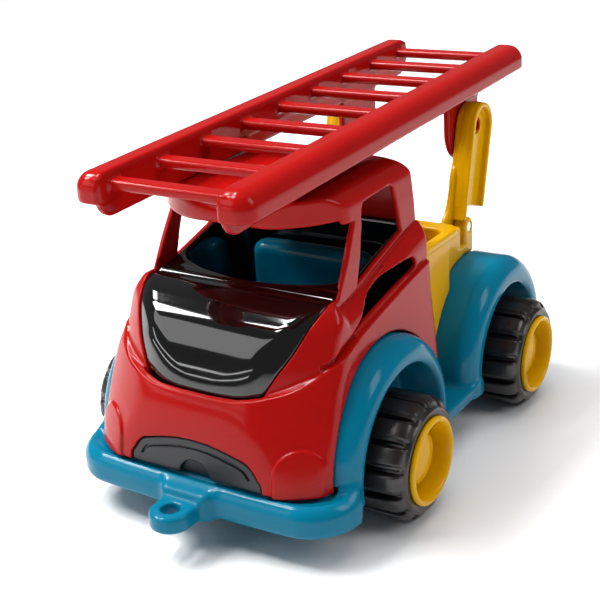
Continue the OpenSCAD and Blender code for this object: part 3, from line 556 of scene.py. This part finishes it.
def ladder(x, u, w):
    """The ladder in its own frame."""
    a = np.abs(x)
    along = slab(u, 0, LADDER_LENGTH)
    skin = corner([a - 43.5, w, along], 8)
    tube = smooth_max(smooth_max(skin, 29 - a, 2), -12.5 - w, 1.2)
    channel = smooth_max(np.maximum(skin + 2.5, w + 3.2), 32.6 - a, 1)
    tube = cut(tube, channel, 0.8)
    web = corner([slab(u, 2, LADDER_LENGTH - 2), -19.5 - w], 8)
    web = smooth_max(np.maximum(web, w + 2), slab(a, 29, 32.5), 1.4)
    hu, hw = ladder_frame(TOP_HINGE.y, TOP_HINGE.z)
    ear = np.where(w < hw, disc(u, w, (hu, hw), 18.5), np.abs(u - hu) - 18.5)
    ear = smooth_max(np.maximum(ear, w + 6), slab(a, 29, 32.5), 1.4)
    rail = smooth_min(smooth_min(tube, web, 1.2), ear, 1.2)
    near = np.round((u - 4) / RUNG_PITCH - 0.25)
    centre = 4 + (np.clip(near, 0, 8) + 0.25) * RUNG_PITCH
    rung = smooth_max(smooth_max(slab(w, -8.4, -4), np.abs(u - centre) - 4, 2), a - 30, 0.5)
    body = smooth_min(rail, rung, 1.6)
    return cut(body, disc(u, w, (hu, hw), 4), 0.6)


# ---------------------------------------------------------------- wheels
# A wheel is drawn about its axle. The first coordinate runs outwards, from the tyre's outer face.

CARCASS = Outline([(-1.8, 18.4), (-0.5, 19.6), (-0.3, 20.6)]
                  + curve([(-0.2, 21.4), (0, 22.6), (-0.3, 23.3), (-1.4, 24.1), (-3.4, 24.4),
                           (-7, 24.4)])
                  + curve([(-24, 24.4), (-27.4, 24), (-29.4, 23), (-30, 21), (-29.4, 18.4)]))
LUG = Outline(curve([(-0.9, 21), (-1.2, 23.8), (-2.4, 26.2), (-4.6, 27.6), (-7.6, 28)])
              + curve([(-24, 28), (-26.8, 27.4), (-28.6, 25.6), (-29, 21)]))
HUB = Outline([(-27, 18.3), (-27, 16), (-11, 15.6), (-11, 5), (-27, 5), (-27, -5)]
              + curve([(-2.7, -5), (-2.6, 0), (-2.8, 5), (-3.6, 9.6), (-4.6, 11.6), (-6, 12.4),
                       (-7.8, 12.7), (-8.9, 13.4), (-9, 14.4), (-8, 15.4), (-4.4, 16.3),
                       (-1, 16.8), (1, 17.4), (1.9, 18.3), (1.9, 19.2), (1.2, 19.9), (0, 20),
                       (-0.4, 19.8)], 6)
              + [(-1.8, 18.3)])


def tyre(x, y, z):
    r = np.hypot(y, z)
    angle = np.arctan2(z, y)
    pitch = 2 * math.pi / LUGS
    turn = angle - pitch * np.round(angle / pitch)
    # lugs lean a little about the tread's middle, and each has a low step along one edge
    across = r * np.sin(turn) + LUG_LEAN * (x + TYRE_W / 2)
    half = LUG_SHARE / 2 * pitch * TYRE_R
    lug = smooth_max(LUG(x, r), np.abs(across) - half, 1)
    step = smooth_max(LUG(x, r) + 1.1, np.abs(across - half - 0.3) - 1.2, 0.5)
    return smooth_min(smooth_min(CARCASS(x, r), lug, 0.7), step, 0.5)


def hub(x, y, z):
    return HUB(x, np.hypot(y, z))


# ---------------------------------------------------------------- pieces

shapes = {
    "chassis": surface(chassis, (-73, -148, 13), (73, 114, 80), 1.2),
    "cab_shell": surface(cab_shell, (-64, -124, 27), (64, 0, 149), 0.85),
    "hood_liner": surface(hood_liner, (-56, -115, 56), (56, -3, 118), 0.85),
    "grille_insert": surface(grille_insert, (-35, -122, 28), (35, -107, 47), 0.5),
    "seat": surface(seat, (-33, -45, 61), (33, -6, 102), 1.0),
    "ladder_bed": surface(ladder_bed, (-53, -3, 36), (53, 78, 102), 0.9),
    "arm": surface(arm, (32, 56, 81), (45, 102, 153), 0.6),
    "ladder": surface(ladder, (-45, -1, -45), (45, 277, 1), 0.95),
    "tyre": surface(tyre, (-31, -29, -29), (1, 29, 29), 0.6),
    "hub": surface(hub, (-28, -21, -21), (3, 21, 21), 0.6),
}
MIRROR = np.diag([-1.0, 1.0, 1.0])
TILT = np.array([[1, 0, 0],
                 [0, math.cos(LADDER_SLOPE), -math.sin(LADDER_SLOPE)],
                 [0, math.sin(LADDER_SLOPE), math.cos(LADDER_SLOPE)]])


def new_piece(node, shape, body, slot, turn=None, offset=(0, 0, 0)):
    made = piece(node + "_moulding", shapes[shape], turn, offset)
    made.data.materials.append(MATERIALS[slot])
    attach(made, body)
    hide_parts(node)


# ---------------------------------------------------------------- materials


def plastic(name, tone, shade, rough, grain, coat, specular):
    """A moulded finish: two close tones in soft clouds, a little uneven gloss, and a fine grain."""
    material = bpy.data.materials.new(name)
    material.use_nodes = True
    nodes, links = material.node_tree.nodes, material.node_tree.links
    shader = nodes["Principled BSDF"]
    shader.inputs["Specular IOR Level"].default_value = specular
    shader.inputs["Coat Weight"].default_value = coat
    shader.inputs["Coat Roughness"].default_value = 0.04
    place = nodes.new("ShaderNodeTexCoord")
    cloud = nodes.new("ShaderNodeTexNoise")
    cloud.inputs["Scale"].default_value = 22
    cloud.inputs["Detail"].default_value = 3
    links.new(place.outputs["Object"], cloud.inputs["Vector"])
    mix = nodes.new("ShaderNodeMix")
    mix.data_type = "RGBA"
    mix.inputs[6].default_value = (*tone, 1)
    mix.inputs[7].default_value = (*shade, 1)
    links.new(cloud.outputs["Fac"], mix.inputs[0])
    links.new(mix.outputs[2], shader.inputs["Base Color"])
    gloss = nodes.new("ShaderNodeMapRange")
    gloss.inputs["To Min"].default_value = rough * 0.8
    gloss.inputs["To Max"].default_value = rough * 1.2
    links.new(cloud.outputs["Fac"], gloss.inputs["Value"])
    links.new(gloss.outputs["Result"], shader.inputs["Roughness"])
    fine = nodes.new("ShaderNodeTexNoise")
    fine.inputs["Scale"].default_value = 900
    fine.inputs["Detail"].default_value = 2
    links.new(place.outputs["Object"], fine.inputs["Vector"])
    bump = nodes.new("ShaderNodeBump")
    bump.inputs["Strength"].default_value = grain
    bump.inputs["Distance"].default_value = 0.0001
    links.new(fine.outputs["Fac"], bump.inputs["Height"])
    links.new(bump.outputs["Normal"], shader.inputs["Normal"])
    return material


# two tones, roughness, grain, coat, specular level
LOOKS = {
    "teal_plastic": ((0.0006, 0.165, 0.275), (0.0006, 0.14, 0.235), 0.14, 0.04, 0, 0.17),
    "red_plastic": ((0.37, 0.0045, 0.0035), (0.32, 0.004, 0.003), 0.14, 0.04, 0, 0.17),
    "black_plastic": ((0.002, 0.002, 0.002), (0.003, 0.003, 0.003), 0.06, 0.02, 0.6, 0.5),
    "grille_plastic": ((0.014, 0.014, 0.015), (0.02, 0.02, 0.021), 0.36, 0.15, 0, 0.4),
    "yellow_plastic": ((0.72, 0.38, 0.0004), (0.64, 0.33, 0.0004), 0.16, 0.04, 0, 0.17),
    "tyre_rubber": ((0.009, 0.0068, 0.0062), (0.014, 0.010, 0.009), 0.3, 0.3, 0, 0.6),
    "steel": ((0.62, 0.62, 0.63), (0.52, 0.52, 0.54), 0.30, 0.10, 0, 0.5),
}
MATERIALS = {name: plastic(name, *look) for name, look in LOOKS.items()}
MATERIALS["steel"].node_tree.nodes["Principled BSDF"].inputs["Metallic"].default_value = 1

new_piece("chassis", "chassis", "truck", "teal_plastic")
new_piece("cab_shell", "cab_shell", "truck", "red_plastic")
new_piece("hood_liner", "hood_liner", "truck", "black_plastic")
new_piece("grille_insert", "grille_insert", "truck", "grille_plastic")
new_piece("seat", "seat", "truck", "teal_plastic")
new_piece("ladder_bed", "ladder_bed", "truck", "yellow_plastic")
new_piece("left_arm", "arm", "arms", "yellow_plastic")
new_piece("right_arm", "arm", "arms", "yellow_plastic", MIRROR)
new_piece("ladder", "ladder", "ladder_body", "red_plastic", TILT, (0, *LADDER_FRONT))
for end, axle in (("front", FRONT_AXLE), ("rear", REAR_AXLE)):
    for side, turn, out in (("left", None, 1), ("right", MIRROR, -1)):
        place = (out * TYRE_OUTER, axle.y, axle.z)
        new_piece(f"{end}_{side}_tyre", "tyre", f"{end}_wheels", "tyre_rubber", turn, place)
        new_piece(f"{end}_{side}_hub", "hub", f"{end}_wheels", "yellow_plastic", turn, place)

KEPT = {
    "steel": ["front_axle", "rear_axle", "left_arm_pin", "right_arm_pin", "body_screws",
              "keeper_screws"],
    "red_plastic": ["left_ladder_pin", "right_ladder_pin"],
    "black_plastic": ["front_axle_keeper", "rear_axle_keeper"],
}
for slot, names in KEPT.items():
    for name in names:
        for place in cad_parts[name].material_slots:
            place.material = MATERIALS[slot]

# ---------------------------------------------------------------- floor, light and camera

bpy.ops.mesh.primitive_plane_add(size=14, location=(0, 2, 0))
floor = bpy.context.object
floor.name = "floor"
floor.data.materials.append(plastic("floor_paper", (0.86, 0.86, 0.86), (0.83, 0.83, 0.83),
                                    0.7, 0.1, 0, 0.1))


def softbox(name, place, target, size, power, gloss=True):
    """A rectangular lamp that faces the target."""
    lamp = bpy.data.lights.new(name, "AREA")
    lamp.shape = "RECTANGLE"
    lamp.size, lamp.size_y = size
    lamp.energy = power
    made = bpy.data.objects.new(name, lamp)
    made.location = place
    made.rotation_euler = (Vector(target) - Vector(place)).to_track_quat("-Z", "Y").to_euler()
    made.visible_glossy = gloss
    bpy.context.scene.collection.objects.link(made)


TARGET = (0, -0.02, 0.08)
for row, (far, wide) in enumerate(((-0.05, 0.238), (-0.62, 0.35))):
    for column, sideways in enumerate((-1.42, -0.78)):
        softbox(f"key_softbox_{row}_{column}", (sideways, far, 1.7), TARGET, (0.44, wide), 13)
softbox("right_softbox", (1.5, 0.3, 1.3), TARGET, (0.6, 1.0), 9)
softbox("left_softbox", (-0.95, -1.15, 0.98), TARGET, (1.0, 0.62), 4.2)
for number, height in enumerate((0.2, 0.36)):
    softbox(f"strip_light_{number}", (-0.95, -1.3, height), TARGET, (1.5, 0.035), 0.9)
softbox("roof_light", (-0.5, 0.7, 3.2), (-0.1, 0.7, 0), (3.6, 4.4), 120, gloss=False)

world = bpy.data.worlds.new("studio")
world.use_nodes = True
world.node_tree.nodes["Background"].inputs["Color"].default_value = (0.94, 0.96, 1, 1)
world.node_tree.nodes["Background"].inputs["Strength"].default_value = 0.16
bpy.context.scene.world = world
bpy.context.scene.view_settings.view_transform = "Standard"

CAMERA_PLACE = (0.27678, -0.46270, 0.27853)
YAW, PITCH, ROLL = 0.56706, 0.37152, -0.0492
HALF_PICTURE, FOCAL = 300, 1161.8
ahead = Vector((-math.sin(YAW) * math.cos(PITCH), math.cos(YAW) * math.cos(PITCH),
                -math.sin(PITCH)))
level = Vector((math.cos(YAW), math.sin(YAW), 0))
over = level.cross(ahead)
right = math.cos(ROLL) * level + math.sin(ROLL) * over
up = -math.sin(ROLL) * level + math.cos(ROLL) * over
camera = bpy.data.objects.new("camera", bpy.data.cameras.new("camera"))
camera.data.angle = 2 * math.atan(HALF_PICTURE / FOCAL)
camera.data.clip_start = 0.01
camera.matrix_world = Matrix.Translation(CAMERA_PLACE) @ Matrix(
    (right, up, -ahead)).transposed().to_4x4()
bpy.context.scene.collection.objects.link(camera)
bpy.context.scene.camera = camera
